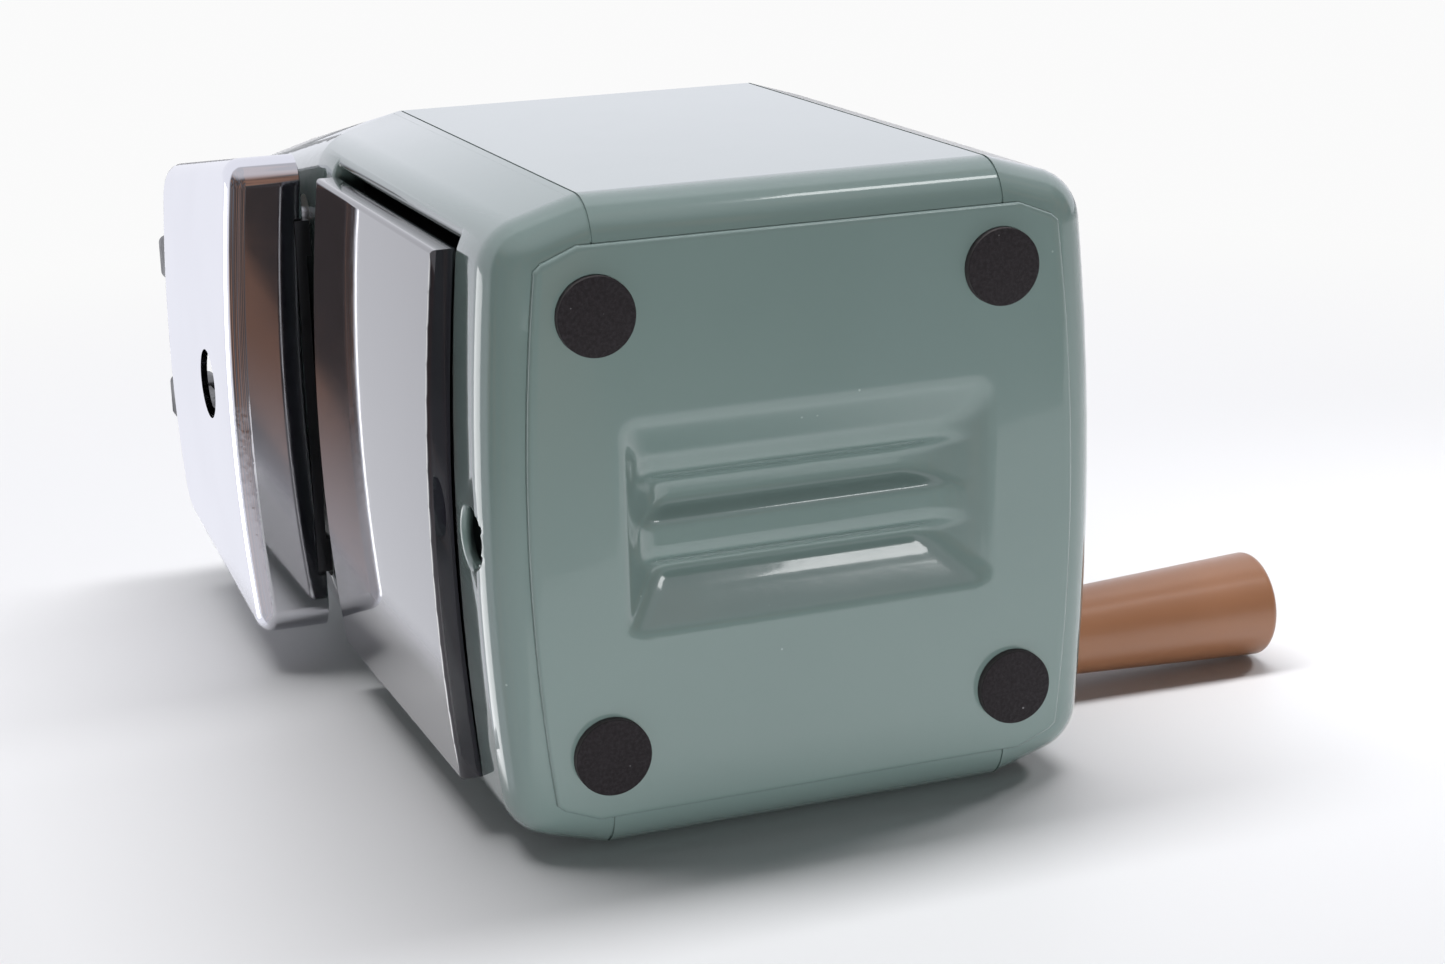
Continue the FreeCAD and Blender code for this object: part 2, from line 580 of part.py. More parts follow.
def tilt_to_cutter(shape):
    """Lay local +Z along the cutter's axle, towards the cone apex behind the mechanism."""
    shape.Placement = FreeCAD.Placement(FreeCAD.Vector(), FreeCAD.Rotation(FreeCAD.Vector(1, 0, 0), -80))
    shape.setExpression("Placement.Rotation.Angle", link("cutter_tilt - 90"))
    shape.setExpression("Placement.Base.y", link("apex_y"))
    shape.setExpression("Placement.Base.z", link("axis_height"))


def make_ring_gear():
    body = new_body("ring_gear")
    blank = circle(body, "blank", "XY", "ring_outer", offset="-ring_far")
    grow(body, "Pad", blank, "ring_far - ring_near")
    ends = [circle(body, f"bore_{end}", "XY", gear_circle(f"ring_{end}", ring_slope, "ring_teeth", "-0.6"),
                   offset=f"-ring_{end}") for end in ("far", "near")]
    grow(body, "SubtractiveLoft", ends[0], sections=[ends[1]])
    spaces = [gear_form(body, f"space_{end}", f"ring_{end}", ring_slope, "ring_teeth",
                        "0.58", "-0.8", "0.95") for end in ("far", "near")]
    repeat_round(body, grow(body, "SubtractiveLoft", spaces[0], sections=[spaces[1]]), "ring_teeth")
    place(body, "y", ("0", "apex_y", "axis_height"))
    keep(body, "ring_gear")


def make_pinion():
    body = new_body("cutter_pinion")
    reach = {"far": "cutter_near", "near": "pinion_near"}
    ends = [circle(body, f"core_{end}", "XY", gear_circle(distance, pinion_slope, "pinion_teeth", "-0.95"),
                   offset=f"-{distance}") for end, distance in reach.items()]
    grow(body, "AdditiveLoft", ends[0], sections=[ends[1]])
    teeth = [gear_form(body, f"tooth_{end}", distance, pinion_slope, "pinion_teeth", "0.42", "-1.3", "0.7")
             for end, distance in reach.items()]
    repeat_round(body, grow(body, "AdditiveLoft", teeth[0], sections=[teeth[1]]), "pinion_teeth")
    bore = circle(body, "bore", "XY", "cutter_pin_radius + run_gap", offset="-cutter_near - 1")
    grow(body, "Pocket", bore, "cutter_near", back=True)
    tilt_to_cutter(body)
    keep(body, "cutter_pinion")


def make_cutter():
    """Milling cutter with helical saw-tooth flutes, each a ruled twist from end to end."""
    count, steps = int(amount("flute_count")), 8
    tip, root = amount("cutter_radius"), amount("cutter_radius - flute_depth")
    near_end, far_end = amount("cutter_near"), amount("cutter_far")
    wires = []
    for step in range(steps + 1):
        level = -far_end + (far_end - near_end) * step / steps
        turn = math.radians(amount("flute_twist")) * step / steps
        points = []
        for flute in range(count):
            for radius, share in ((tip, 0.0), (root, 0.18)):
                angle = turn + 2 * math.pi * (flute + share) / count
                points.append(FreeCAD.Vector(radius * math.cos(angle), radius * math.sin(angle), level))
        wires.append(Part.makePolygon(points + points[:1]))
    blank = Part.makeLoft(wires, True, True)
    low_end = FreeCAD.Vector(0, 0, -far_end - 1)
    bore = Part.makeCylinder(amount("cutter_pin_radius + run_gap"), far_end, low_end)
    cutter = doc.addObject("Part::Feature", "helical_cutter")
    cutter.Shape = blank.cut(bore)
    tilt_to_cutter(cutter)
    keep(cutter, "helical_cutter")


def make_carrier():
    """Rotating casting: hollow nose for the pencil, front disc, spine past the cutter, and tail disc."""
    solids = [rod("carrier_nose", "nose_radius", "y", "-nose_front", "-disc_front", centre),
              rod("carrier_disc", "disc_radius", "y", "-disc_front", "-disc_rear", centre),
              rod("carrier_tail", "tail_radius", "y", "tail_front", "tail_rear", centre)]
    spine = cut("carrier_spine",
                rod("carrier_spine_tube", "spine_outer", "y", "-disc_rear", "tail_front", centre),
                rod("carrier_spine_bore", "spine_inner", "y", "-disc_rear", "tail_front", centre),
                box("carrier_spine_trim", ("-disc_radius", "disc_radius"), ("-disc_rear", "tail_front"),
                    ("axis_height - disc_radius", "axis_height + spine_above")))
    axle_bore = rod("carrier_axle_bore", "cutter_pin_radius", "z", "-cutter_pin_far", "-cutter_pin_near")
    tilt_from(axle_bore, "cutter_pin_far")
    bore = rod("carrier_bore", "pencil_bore", "y", "-nose_front - 1", "-disc_rear + 1", centre)
    keep(cut("cutter_carrier", fuse("carrier_solids", *solids, spine), bore, axle_bore), "cutter_carrier")
    pin = rod("cutter_axle", "cutter_pin_radius", "z", "-cutter_pin_far", "-cutter_pin_near")
    tilt_from(pin, "cutter_pin_far")
    keep(pin, "cutter_axle")


def tilt_from(shape, distance):
    """Lay a cylinder along the cutter's axle, starting at a distance in front of the apex."""
    tilt_to_cutter(shape)
    shape.setExpression("Placement.Base.x", None)
    shape.setExpression("Placement.Base.y", link(f"apex_y - {distance} * cos(cutter_tilt)"))
    shape.setExpression("Placement.Base.z", link(f"axis_height - {distance} * sin(cutter_tilt)"))
    shape.Placement.Base.x = 0


# ---- crank ------------------------------------------------------------------------------------------------

def swing(shape):
    """Turn a piece drawn straight below the shaft to the crank's rest position."""
    shape.Placement = FreeCAD.Placement(FreeCAD.Vector(), FreeCAD.Rotation(FreeCAD.Vector(0, 1, 0), 1))
    shape.setExpression("Placement.Rotation.Angle", link("crank_angle"))
    shape.setExpression("Placement.Base.x", link("-axis_height * sin(crank_angle)"))
    shape.setExpression("Placement.Base.z", link("axis_height * (1 - cos(crank_angle))"))
    return shape


def make_crank():
    arm_rear = "arm_front + arm_thick"
    shaft = fuse("shaft_solids",
                 rod("shaft_flange", "shaft_radius + flange_proud", "y",
                     "tail_rear", "tail_rear + flange_thick", centre),
                 rod("shaft_stem", "shaft_radius", "y", "tail_rear", "arm_front", centre),
                 rod("shaft_stub", "stub_radius", "y", "arm_front", arm_rear, centre))
    keep(cut("drive_shaft", shaft, rod("shaft_thread", "bolt_radius", "y", f"{arm_rear} - shaft_bolt_depth",
                                       f"{arm_rear} + 1", centre)), "drive_shaft")
    keep(sleeve("crank_collar", "shaft_radius", "collar_radius", "y",
                "half_depth + collar_gap", "arm_front", centre), "crank_collar")
    shank = rod("bolt_shank", "bolt_radius", "y", f"{arm_rear} - shaft_bolt_depth", arm_rear, centre)
    head = rod("bolt_head", "bolt_head_radius", "y", arm_rear, f"{arm_rear} + bolt_head", centre,
               "bolt_head_radius - bolt_head_taper")
    keep(fuse("crank_bolt", shank, head), "crank_bolt")

    tip_z = "axis_height - crank_radius"
    at_knob = ("0", tip_z)
    body = new_body("arm_strip")
    hub, tip = "arm_hub_radius", "arm_tip_radius"
    strip = outline(body, "strip", "XZ", [(f"-{tip}", tip_z), (tip, tip_z), (hub, "axis_height"),
                                          (f"-{hub}", "axis_height")], offset=f"-({arm_rear})")
    grow(body, "Pad", strip, "arm_thick")
    arm = cut("crank_arm", fuse("arm_solids", body, rod("arm_hub", hub, "y", "arm_front", arm_rear, centre),
                                rod("arm_tip", tip, "y", "arm_front", arm_rear, at_knob)),
              rod("arm_shaft_hole", "stub_radius", "y", "arm_front - 1", f"{arm_rear} + 1", centre),
              rod("arm_pin_hole", "knob_pin_radius", "y", "arm_front - 1", f"{arm_rear} + 1", at_knob))
    keep(swing(arm), "crank_arm")
    pin = fuse("knob_pin", rod("pin_stem", "knob_pin_radius", "y", "arm_front", "knob_pin_end", at_knob),
               rod("pin_rivet", "rivet_radius", "y", "arm_front - rivet_head", "arm_front", at_knob))
    keep(swing(pin), "knob_pin")
    washer_rear = f"{arm_rear} + washer_thick"
    washer = sleeve("knob_washer", "knob_pin_radius", "rivet_radius", "y", arm_rear, washer_rear, at_knob)
    keep(swing(washer), "knob_washer")

    knob = new_body("crank_knob")
    start = f"{washer_rear} + knob_gap"
    bore_radius = "knob_pin_radius + run_gap"
    profile = outline(knob, "profile", "YZ",
                      [(start, f"{tip_z} + {bore_radius}"), ("knob_pin_end + 1", f"{tip_z} + {bore_radius}"),
                       ("knob_pin_end + 1", tip_z), ("knob_end", tip_z),
                       ("knob_end", f"{tip_z} + knob_outer_radius", "0.8"),
                       (start, f"{tip_z} + knob_inner_radius", "0.6")])
    turned = knob.newObject("PartDesign::Revolution", "crank_knob_turned")
    turned.Profile = profile
    on_axis = [near(edge.StartPoint.y, tip_z) and near(edge.EndPoint.y, tip_z)
               for edge in profile.Geometry[:len(profile.Shape.Edges)]]
    turned.ReferenceAxis = (profile, [f"Edge{on_axis.index(True) + 1}"])
    turned.Angle = 360
    doc.recompute()
    keep(swing(knob), "crank_knob")


# ---- feed unit --------------------------------------------------------------------------------------------

def pan_block(name, inset="0", rear="pan_rear"):
    """The pillow-fronted trapezoid of the feed plate, or what lies inside it."""
    body = new_body(name)
    low, high = f"pan_bottom + ({inset})", f"pan_top - ({inset})"
    wide, narrow, edge = f"pan_half_bottom - ({inset})", f"pan_half_top - ({inset})", f"pan_edge - ({inset})"
    corner, foot = f"pan_corner - ({inset})", f"pan_corner_low - ({inset})"
    face = outline(body, "face", "XZ", [(f"-({wide})", low, foot), (wide, low, foot),
                                        (narrow, high, corner), (f"-({narrow})", high, corner)], offset=rear)
    grow(body, "Pad", face, f"{edge} + pan_crown - ({rear})")
    ahead = f"-({edge} + pan_crown + 2)"
    beyond = outline(body, "crown", "XY", [(f"-({wide}) - 1", ahead), (f"{wide} + 1", ahead),
                                           (f"{wide} + 1", f"-({edge})"), (f"-({wide}) - 1", f"-({edge})")],
                     bows={2: "-pan_crown"}, offset="pan_bottom - 1")
    block = grow(body, "Pocket", beyond, "pan_top - pan_bottom + 2", back=True)
    limit = amount(edge) - 0.02
    soften(body, block, f"pan_round - ({inset})", lambda at, edge: at.y < -limit)
    return body


def lever_slot(name):
    return box(name, ("-slot_half", "slot_half"), ("-lever_front - 0.6", "-lever_rear + 0.6"),
               ("pan_top - pan_corner - 3", "pan_top + 1"))


def make_feed_unit():
    outside = pan_block("feed_plate_outside")
    inside = pan_block("feed_plate_inside", "pan_wall", "pan_rear - 2")
    notch = box("feed_plate_notch", ("-lip_half - fit_gap", "lip_half + fit_gap"),
                ("-lip_front - 0.1", "-pan_rear + 1"), ("pan_bottom - 1", "pan_bottom + lip_height"))
    hole = rod("feed_plate_hole", "pencil_hole", "y", "-pan_edge - 4", "-pan_rear", centre)
    keep(cut("feed_plate", outside, inside, notch, hole, lever_slot("feed_plate_slot")), "feed_plate")

    block = pan_block("feed_frame_block", "pan_wall + fit_gap", "frame_rear")
    solids = [block, box("feed_lip", ("-lip_half", "lip_half"), ("-lip_front", "-frame_rear"),
                         ("pan_bottom + 0.1", "pan_bottom + lip_height"))]
    tools = [rod("chuck_room", "chuck_radius", "y", "-pan_edge - 4", "-chuck_rear", centre),
             box("lever_room", ("-slot_half + 0.5", "slot_half - 0.5"), ("-pan_edge - 4", "-chuck_rear"),
                 ("axis_height + jaw_bore + jaw_length", "pan_top")),
             rod("feed_bore", "pencil_bore", "y", "-chuck_rear - 1", "-frame_rear + 1", centre),
             lever_slot("feed_frame_slot")]
    for side in (-1, 1):
        ends = sorted((f"{side} * lip_half", f"{side} * (lip_half - lug_width)"), key=amount)
        solids.append(box("feed_lug", ends, ("-frame_rear", "-lug_rear"),
                          ("pan_bottom + 0.1", "pan_bottom + lip_height")))
        tools.append(rod("rod_socket", "rod_radius", "y", "-rod_front", "-frame_rear + 1",
                         (f"{side} * rod_x", "rod_z")))
        tools.append(rod("lever_pin_socket", "lever_pin_radius", "y", "-chuck_rear - 1", "-frame_rear - 0.8",
                         (f"{side} * lever_x", "lever_z")))
    keep(cut("feed_frame", fuse("feed_frame_solids", *solids), *tools), "feed_frame")

    rods, bushes, clips, springs = [], [], [], []
    for side in (-1, 1):
        across = (f"{side} * rod_x", "rod_z")
        rods.append(rod("guide_rod", "rod_radius", "y", "-rod_front", "rod_end", across))
        bushes.append(sleeve("rod_bush", "rod_radius + run_gap", "rod_bush_radius", "y", "-rod_bush_front",
                             "-rod_bush_end", across))
        clips.append(sleeve("rod_clip", "rod_radius", "clip_radius", "y",
                            "rod_end - clip_thick", "rod_end", across))
        springs.append(make_spring(side, across))
    for label, pieces in (("guide_rods", rods), ("rod_bushes", bushes), ("rod_clips", clips),
                          ("feed_springs", springs)):
        keep(group(label, pieces), label)


def make_spring(side, across):
    body = new_body("feed_spring_left" if side < 0 else "feed_spring_right")
    wire = circle(body, "wire", "XZ", "spring_wire", x="spring_radius")
    coil = body.newObject("PartDesign::AdditiveHelix", f"{body.Name}_coil")
    coil.Profile = wire
    coil.ReferenceAxis = (wire, ["V_Axis"])
    coil.Mode = "height-turns-angle"
    free = "rod_bush_end + rod_end - clip_thick - 2 * spring_wire - 2 * run_gap"
    coil.setExpression("Height", link(free))
    coil.setExpression("Turns", link("spring_turns"))
    doc.recompute()
    place(body, "y", (across[0], "-rod_bush_end + spring_wire + run_gap", across[1]))
    return body


def make_chuck():
    for label, angle in (("jaw_top", 90), ("jaw_left", 210), ("jaw_right", 330)):
        jaw = doc.addObject("Part::Box", label)
        turn = FreeCAD.Rotation(FreeCAD.Vector(0, 1, 0), -angle)
        jaw.Placement = FreeCAD.Placement(FreeCAD.Vector(), turn)
        jaw.setExpression("Length", link("jaw_length"))
        jaw.setExpression("Width", link("jaw_front - jaw_rear"))
        jaw.setExpression("Height", link("2 * jaw_half"))
        along = (f"cos({angle})", f"sin({angle})")
        jaw.setExpression("Placement.Base.x", link(f"jaw_bore * {along[0]} + jaw_half * {along[1]}"))
        jaw.setExpression("Placement.Base.y", link("-jaw_front"))
        jaw.setExpression("Placement.Base.z",
                          link(f"axis_height + jaw_bore * {along[1]} - jaw_half * {along[0]}"))
        keep(jaw, label)
    pins = []
    for side, label in ((-1, "pinch_lever_left"), (1, "pinch_lever_right")):
        across = (f"{side} * lever_x", "lever_z")
        body = new_body(f"{label}_blank")
        half, tab = "lever_half", "tab_half"
        low, neck = "lever_z - lever_drop", "pan_top + tab_lift"

        def slab(name, half_wide, bottom, top, front, rear):
            face = outline(body, name, "XZ", [(f"{across[0]} - {half_wide}", bottom),
                                              (f"{across[0]} + {half_wide}", bottom),
                                              (f"{across[0]} + {half_wide}", top),
                                              (f"{across[0]} - {half_wide}", top)], offset=rear)
            return grow(body, "Pad", face, f"{front} - {rear}")

        slab("strip", half, low, f"{neck} + 1", "lever_front", "lever_rear")
        tabbed = slab("tab", tab, neck, "lever_top", "tab_front", "tab_rear")
        floor = amount(neck) + 0.1
        soften(body, tabbed, "tab_round", lambda at, edge: at.z > floor)
        bore = rod(f"{label}_bore", "lever_pin_radius + run_gap", "y",
                   "-lever_front - 1", "-lever_rear + 1", across)
        keep(cut(label, body, bore), label)
        pins.append(rod("lever_pin", "lever_pin_radius", "y",
                        "-lever_front - 0.4", "-frame_rear - 0.8", across))
    keep(group("lever_pins", pins), "lever_pins")


def make_screws():
    screws = []
    for side in (-1, 1):
        across = (f"{side} * screw_x", "screw_z")
        neck = "-screw_front + screw_head_radius - screw_radius"
        head = rod("screw_head", "screw_head_radius", "y", "-screw_front", neck, across, "screw_radius")
        shank = rod("screw_shank", "screw_radius", "y", neck, "-screw_end", across)
        screws.append(fuse("frame_screw", head, shank))
    keep(group("frame_screws", screws), "frame_screws")


for make in (make_front_cover, make_rear_cover, make_body_wrap, make_base_plate, make_feet,
             make_clamp_socket, make_drawer, make_frame, make_bushes, make_ring_gear, make_pinion,
             make_cutter, make_carrier, make_crank, make_feed_unit, make_chuck, make_screws):
    make()
doc.recompute()

faults = [item.Name for item in doc.Objects if "Invalid" in item.State or "Error" in item.State]
faults += [item.Label for item in sub_parts if item.Shape.isNull() or not item.Shape.isValid()]
if faults:
    raise RuntimeError(f"objects that did not build: {faults}")
os.makedirs("parts", exist_ok=True)
for item in sub_parts:
    item.Shape.exportStep(f"parts/{item.Label}.step")
    print(item.Label, len(item.Shape.Solids), round(item.Shape.Volume, 2))
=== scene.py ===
import math

import bmesh
import bpy
from mathutils import Matrix, Vector


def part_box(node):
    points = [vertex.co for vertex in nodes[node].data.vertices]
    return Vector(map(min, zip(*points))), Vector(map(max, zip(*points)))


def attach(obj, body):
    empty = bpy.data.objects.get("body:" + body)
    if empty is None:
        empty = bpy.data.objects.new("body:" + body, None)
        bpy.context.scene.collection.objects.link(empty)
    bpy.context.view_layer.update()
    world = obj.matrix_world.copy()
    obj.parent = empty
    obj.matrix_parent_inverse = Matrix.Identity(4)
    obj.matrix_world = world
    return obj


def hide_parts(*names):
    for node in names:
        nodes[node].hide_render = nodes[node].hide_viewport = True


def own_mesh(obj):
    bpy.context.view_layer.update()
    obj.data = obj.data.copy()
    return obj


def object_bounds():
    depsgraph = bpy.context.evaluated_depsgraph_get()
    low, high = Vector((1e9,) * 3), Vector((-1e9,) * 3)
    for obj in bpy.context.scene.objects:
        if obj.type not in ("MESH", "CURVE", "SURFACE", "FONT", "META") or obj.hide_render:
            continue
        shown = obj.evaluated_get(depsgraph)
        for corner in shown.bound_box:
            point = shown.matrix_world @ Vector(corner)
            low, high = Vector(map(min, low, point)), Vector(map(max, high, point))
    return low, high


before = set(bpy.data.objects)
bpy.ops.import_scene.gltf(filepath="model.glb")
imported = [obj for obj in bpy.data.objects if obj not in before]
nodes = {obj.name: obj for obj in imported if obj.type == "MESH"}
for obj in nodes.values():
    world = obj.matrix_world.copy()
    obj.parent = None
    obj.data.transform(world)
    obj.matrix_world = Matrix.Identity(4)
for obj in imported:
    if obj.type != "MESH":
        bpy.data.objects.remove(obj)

cad_low, cad_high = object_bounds()


# ---- table, studio and camera -----------------------------------------------------------------------------
# The sharpener lies on its left side on a white table top. The table is one-sided and stops a little way in
# front of the object, so it neither hides nor darkens it in the views from other sides.

TABLE_GAP = 0.0001
TABLE_CORNERS = ((-0.14, -0.02), (-0.14, 4.0), (2.6, 4.0), (2.6, -0.24), (0.30, -0.24))
NOT_MIRRORED = (-0.048, -0.042)
WHITE_BEYOND = (0.12, 0.30)
TOUCHING = (0.0015, 0.003)
PAPER_WHITE = 0.96


def shader(name):
    """A new material with its node tree and its Principled BSDF."""
    material = bpy.data.materials.new(name)
    material.use_nodes = True
    return material, material.node_tree, material.node_tree.nodes["Principled BSDF"]


def finish_mesh(name, shape, smooth=None):
    """Make a bmesh an object of its own, with smooth faces up to an edge angle in degrees."""
    mesh = bpy.data.meshes.new(name)
    shape.to_mesh(mesh)
    shape.free()
    if smooth:
        mesh.shade_smooth()
        mesh.set_sharp_from_angle(angle=math.radians(smooth))
    piece = bpy.data.objects.new(name, mesh)
    bpy.context.collection.objects.link(piece)
    return piece


def plug(tree, node, **inputs):
    """Fill a node's sockets, by name or as _0 and _1, with numbers, colours or other nodes' outputs."""
    for name, value in inputs.items():
        socket = node.inputs[int(name[1:])] if name[0] == "_" else node.inputs[name.replace("_", " ")]
        if isinstance(value, bpy.types.NodeSocket):
            tree.links.new(value, socket)
        else:
            socket.default_value = value
    return node


def wire(tree, kind, option=None, **inputs):
    """Add a node, set its one option, given as (name, value), and fill its sockets."""
    node = tree.nodes.new(f"ShaderNode{kind}")
    if option:
        setattr(node, *option)
    return plug(tree, node, **inputs)


def span(tree, value, low, high, start, end):
    """Map a value from low..high onto start..end, smoothly, without running past either."""
    return wire(tree, "MapRange", ("interpolation_type", "SMOOTHSTEP"), Value=value, From_Min=low,
                From_Max=high, To_Min=start, To_Max=end).outputs["Result"]


def one_of(tree, operation, first, second):
    """The result of a Math node on two values."""
    return wire(tree, "Math", ("operation", operation), _0=first, _1=second).outputs[0]


def blend_colour(tree, factor, first, second):
    """Mix two colours, each given as a colour or as another node's output."""
    ends = [end if isinstance(end, bpy.types.NodeSocket) else (*end, 1) for end in (first, second)]
    return wire(tree, "Mix", ("data_type", "RGBA"), Factor=factor, A=ends[0], B=ends[1]).outputs["Result"]


table_level = cad_low.x - TABLE_GAP
top = bmesh.new()
top.faces.new([top.verts.new((table_level, y, z)) for y, z in reversed(TABLE_CORNERS)])
bmesh.ops.recalc_face_normals(top, faces=top.faces)
if top.faces[:][0].normal.x < 0:
    bmesh.ops.reverse_faces(top, faces=top.faces)
table = finish_mesh("table", top)

# The top turns to plain white away from the object. Gloss doesn't show its part to the left of the object,
# and soft light comes through it to a side that touches it.
table_white, tree, board = shader("table_white")
plug(tree, board, Base_Color=(0.78, 0.78, 0.80, 1), Roughness=0.5)
side = tree.nodes.new("ShaderNodeNewGeometry").outputs
rays = tree.nodes.new("ShaderNodeLightPath").outputs
where = wire(tree, "SeparateXYZ", Vector=side["Position"]).outputs
gloss_gap = one_of(tree, "MULTIPLY", span(tree, where["Y"], *NOT_MIRRORED, 1, 0), rays["Is Glossy Ray"])
contact = one_of(tree, "MULTIPLY", span(tree, rays["Ray Length"], *TOUCHING, 1, 0), rays["Is Diffuse Ray"])
see_through = one_of(tree, "MAXIMUM", side["Backfacing"], one_of(tree, "MAXIMUM", gloss_gap, contact))
reach = wire(tree, "VectorMath", ("operation", "DISTANCE"), _0=side["Position"], _1=(table_level, 0, 0.05))
away = span(tree, reach.outputs["Value"], *WHITE_BEYOND, 0, 1)
glow = wire(tree, "Emission", Color=(1, 1, 1, 1), Strength=PAPER_WHITE)
white_far = wire(tree, "MixShader", _0=one_of(tree, "MULTIPLY", away, rays["Is Camera Ray"]),
                 _1=board.outputs["BSDF"], _2=glow.outputs["Emission"])
clear = tree.nodes.new("ShaderNodeBsdfTransparent")
surface = wire(tree, "MixShader", _0=see_through, _1=white_far.outputs["Shader"], _2=clear.outputs["BSDF"])
plug(tree, tree.nodes["Material Output"], Surface=surface.outputs["Shader"])
table.data.materials.append(table_white)


def soft_lamp(name, place, aim, width, height, watts, gloss=True, diffuse=True):
    """A rectangular lamp that the camera doesn't see; it lights, shows in gloss, or does both."""
    lamp = bpy.data.lights.new(name, "AREA")
    lamp.shape = "RECTANGLE"
    lamp.size, lamp.size_y, lamp.energy = width, height, watts
    holder = bpy.data.objects.new(name, lamp)
    bpy.context.collection.objects.link(holder)
    holder.location = place
    holder.rotation_euler = (Vector(aim) - Vector(place)).to_track_quat("-Z", "Y").to_euler()
    holder.visible_camera = False
    holder.visible_glossy = gloss
    holder.visible_diffuse = diffuse
    return lamp


soft_lamp("overhead_softbox", (0.78, 0.03, 0.20), (0, 0, 0.05), 0.90, 0.18, 8.2, gloss=False)
soft_lamp("overhead_glow", (0.75, 0.40, -0.30), (0, 0, 0), 0.17, 0.10, 0.27, diffuse=False)
soft_lamp("left_panel", (-0.16, -0.47, 0.38), (0, -0.035, 0.05), 0.37, 0.30, 0.8)
soft_lamp("camera_side_fill", (-0.02, -0.10, -1.20), (0, 0, 0), 0.16, 0.16, 11.5, gloss=False)
floor_fill = soft_lamp("right_floor_fill", (0.26, 0.40, 0.10), (table_level, 0.10, 0.015), 0.06, 0.06, 0.020,
                       gloss=False)
floor_fill.spread = 0.5

# The room that gloss shows: white behind the object, half white overhead and below, and dim in front of it,
# with a few warm streaks. Matt surfaces get a soft grey light, and the camera sees the table's white.
ROOM_DARK, ROOM_WARM, ROOM_GREY = (0.07, 0.058, 0.056), (0.27, 0.155, 0.115), (0.16, 0.16, 0.18)
ROOM_WHITE = (0.95, 0.96, 1.03)
STREAKS = (3, 16, 3)

world = bpy.data.worlds.new("studio")
bpy.context.scene.world = world
world.use_nodes = True
tree = world.node_tree
heading = tree.nodes.new("ShaderNodeTexCoord").outputs["Generated"]
toward = wire(tree, "SeparateXYZ", Vector=heading).outputs
rays = tree.nodes.new("ShaderNodeLightPath").outputs
streaky = wire(tree, "VectorMath", ("operation", "MULTIPLY"), _0=heading, _1=STREAKS).outputs["Vector"]
patches = wire(tree, "TexNoise", Vector=streaky, Scale=1.0, Detail=1.5).outputs["Fac"]
warm = blend_colour(tree, span(tree, patches, 0.53, 0.60, 0, 1), ROOM_DARK, ROOM_WARM)
dim_room = blend_colour(tree, span(tree, patches, 0.34, 0.46, 1, 0), warm, ROOM_GREY)
behind = span(tree, toward["Z"], -0.12, 0.12, 0, 1)
overhead = span(tree, toward["X"], 0.45, 0.80, 0, 0.55)
below = span(tree, toward["X"], -0.34, -0.20, 0.5, 0)
bright = one_of(tree, "MAXIMUM", behind, one_of(tree, "MAXIMUM", overhead, below))
mirrored = blend_colour(tree, bright, dim_room, ROOM_WHITE)
ambient = span(tree, toward["Z"], -0.20, 0.50, 0.03, 0.30)
by_gloss = blend_colour(tree, rays["Is Glossy Ray"], ambient, mirrored)
by_camera = blend_colour(tree, rays["Is Camera Ray"], by_gloss, (PAPER_WHITE,) * 3)
plug(tree, tree.nodes["Background"], Color=by_camera)

lens = bpy.data.cameras.new("camera")
camera = bpy.data.objects.new("camera", lens)
bpy.context.collection.objects.link(camera)
lens.lens, lens.sensor_width = 69.53, 36
lens.clip_start, lens.clip_end = 0.01, 20
camera.matrix_world = Matrix(((-0.0271, 0.9620, 0.2719, 0.07946),
                              (0.9306, 0.1235, -0.3455, -0.10515),
                              (-0.3658, 0.2433, -0.8977, -0.24763),
                              (0, 0, 0, 1)))
bpy.context.scene.camera = camera
bpy.context.scene.view_settings.view_transform = "Standard"


# ---- painted shell ----------------------------------------------------------------------------------------
# Front cover, rear cover and wrap are drawn steel, sprayed with a sage green gloss enamel and baked. The
# enamel has a faint orange peel and a few dust nibs, and pools round the edge of the clamp hole.

ENAMEL_DEEP, ENAMEL_PALE, NIB_COLOUR = (0.146, 0.203, 0.193), (0.154, 0.213, 0.202), (0.26, 0.33, 0.31)


def grain_group():
    """Noise on the piece's own coordinates, with its scale in lumps per metre."""
    group = bpy.data.node_groups.new("grain", "ShaderNodeTree")
    for name in ("Scale", "Detail", "Roughness"):
        group.interface.new_socket(name, in_out="INPUT", socket_type="NodeSocketFloat")
    group.interface.new_socket("Height", in_out="OUTPUT", socket_type="NodeSocketFloat")
    given = group.nodes.new("NodeGroupInput").outputs
    spot = group.nodes.new("ShaderNodeTexCoord").outputs["Object"]
    noise = wire(group, "TexNoise", Vector=spot, Scale=given["Scale"], Detail=given["Detail"],
                 Roughness=given["Roughness"])
    plug(group, group.nodes.new("NodeGroupOutput"), Height=noise.outputs["Fac"])
    return group


def specks_group():
    """Round specks over the piece: a share of its cells hold one each, of a radius in cell widths."""
    group = bpy.data.node_groups.new("specks", "ShaderNodeTree")
    for name in ("Per Metre", "Share", "Radius"):
        group.interface.new_socket(name, in_out="INPUT", socket_type="NodeSocketFloat")
    group.interface.new_socket("Speck", in_out="OUTPUT", socket_type="NodeSocketFloat")
    given = group.nodes.new("NodeGroupInput").outputs
    spot = group.nodes.new("ShaderNodeTexCoord").outputs["Object"]
    cells = wire(group, "TexVoronoi", Vector=spot, Scale=given["Per Metre"]).outputs
    core = one_of(group, "DIVIDE", given["Radius"], 2)
    dot = span(group, cells["Distance"], core, given["Radius"], 1, 0)
    pick = wire(group, "SeparateColor", Color=cells["Color"]).outputs["Red"]
    sure = one_of(group, "SUBTRACT", given["Share"], 0.01)
    chosen = span(group, pick, sure, given["Share"], 1, 0)
    plug(group, group.nodes.new("NodeGroupOutput"), Speck=one_of(group, "MULTIPLY", dot, chosen))
    return group


grain_noise = grain_group()
round_specks = specks_group()


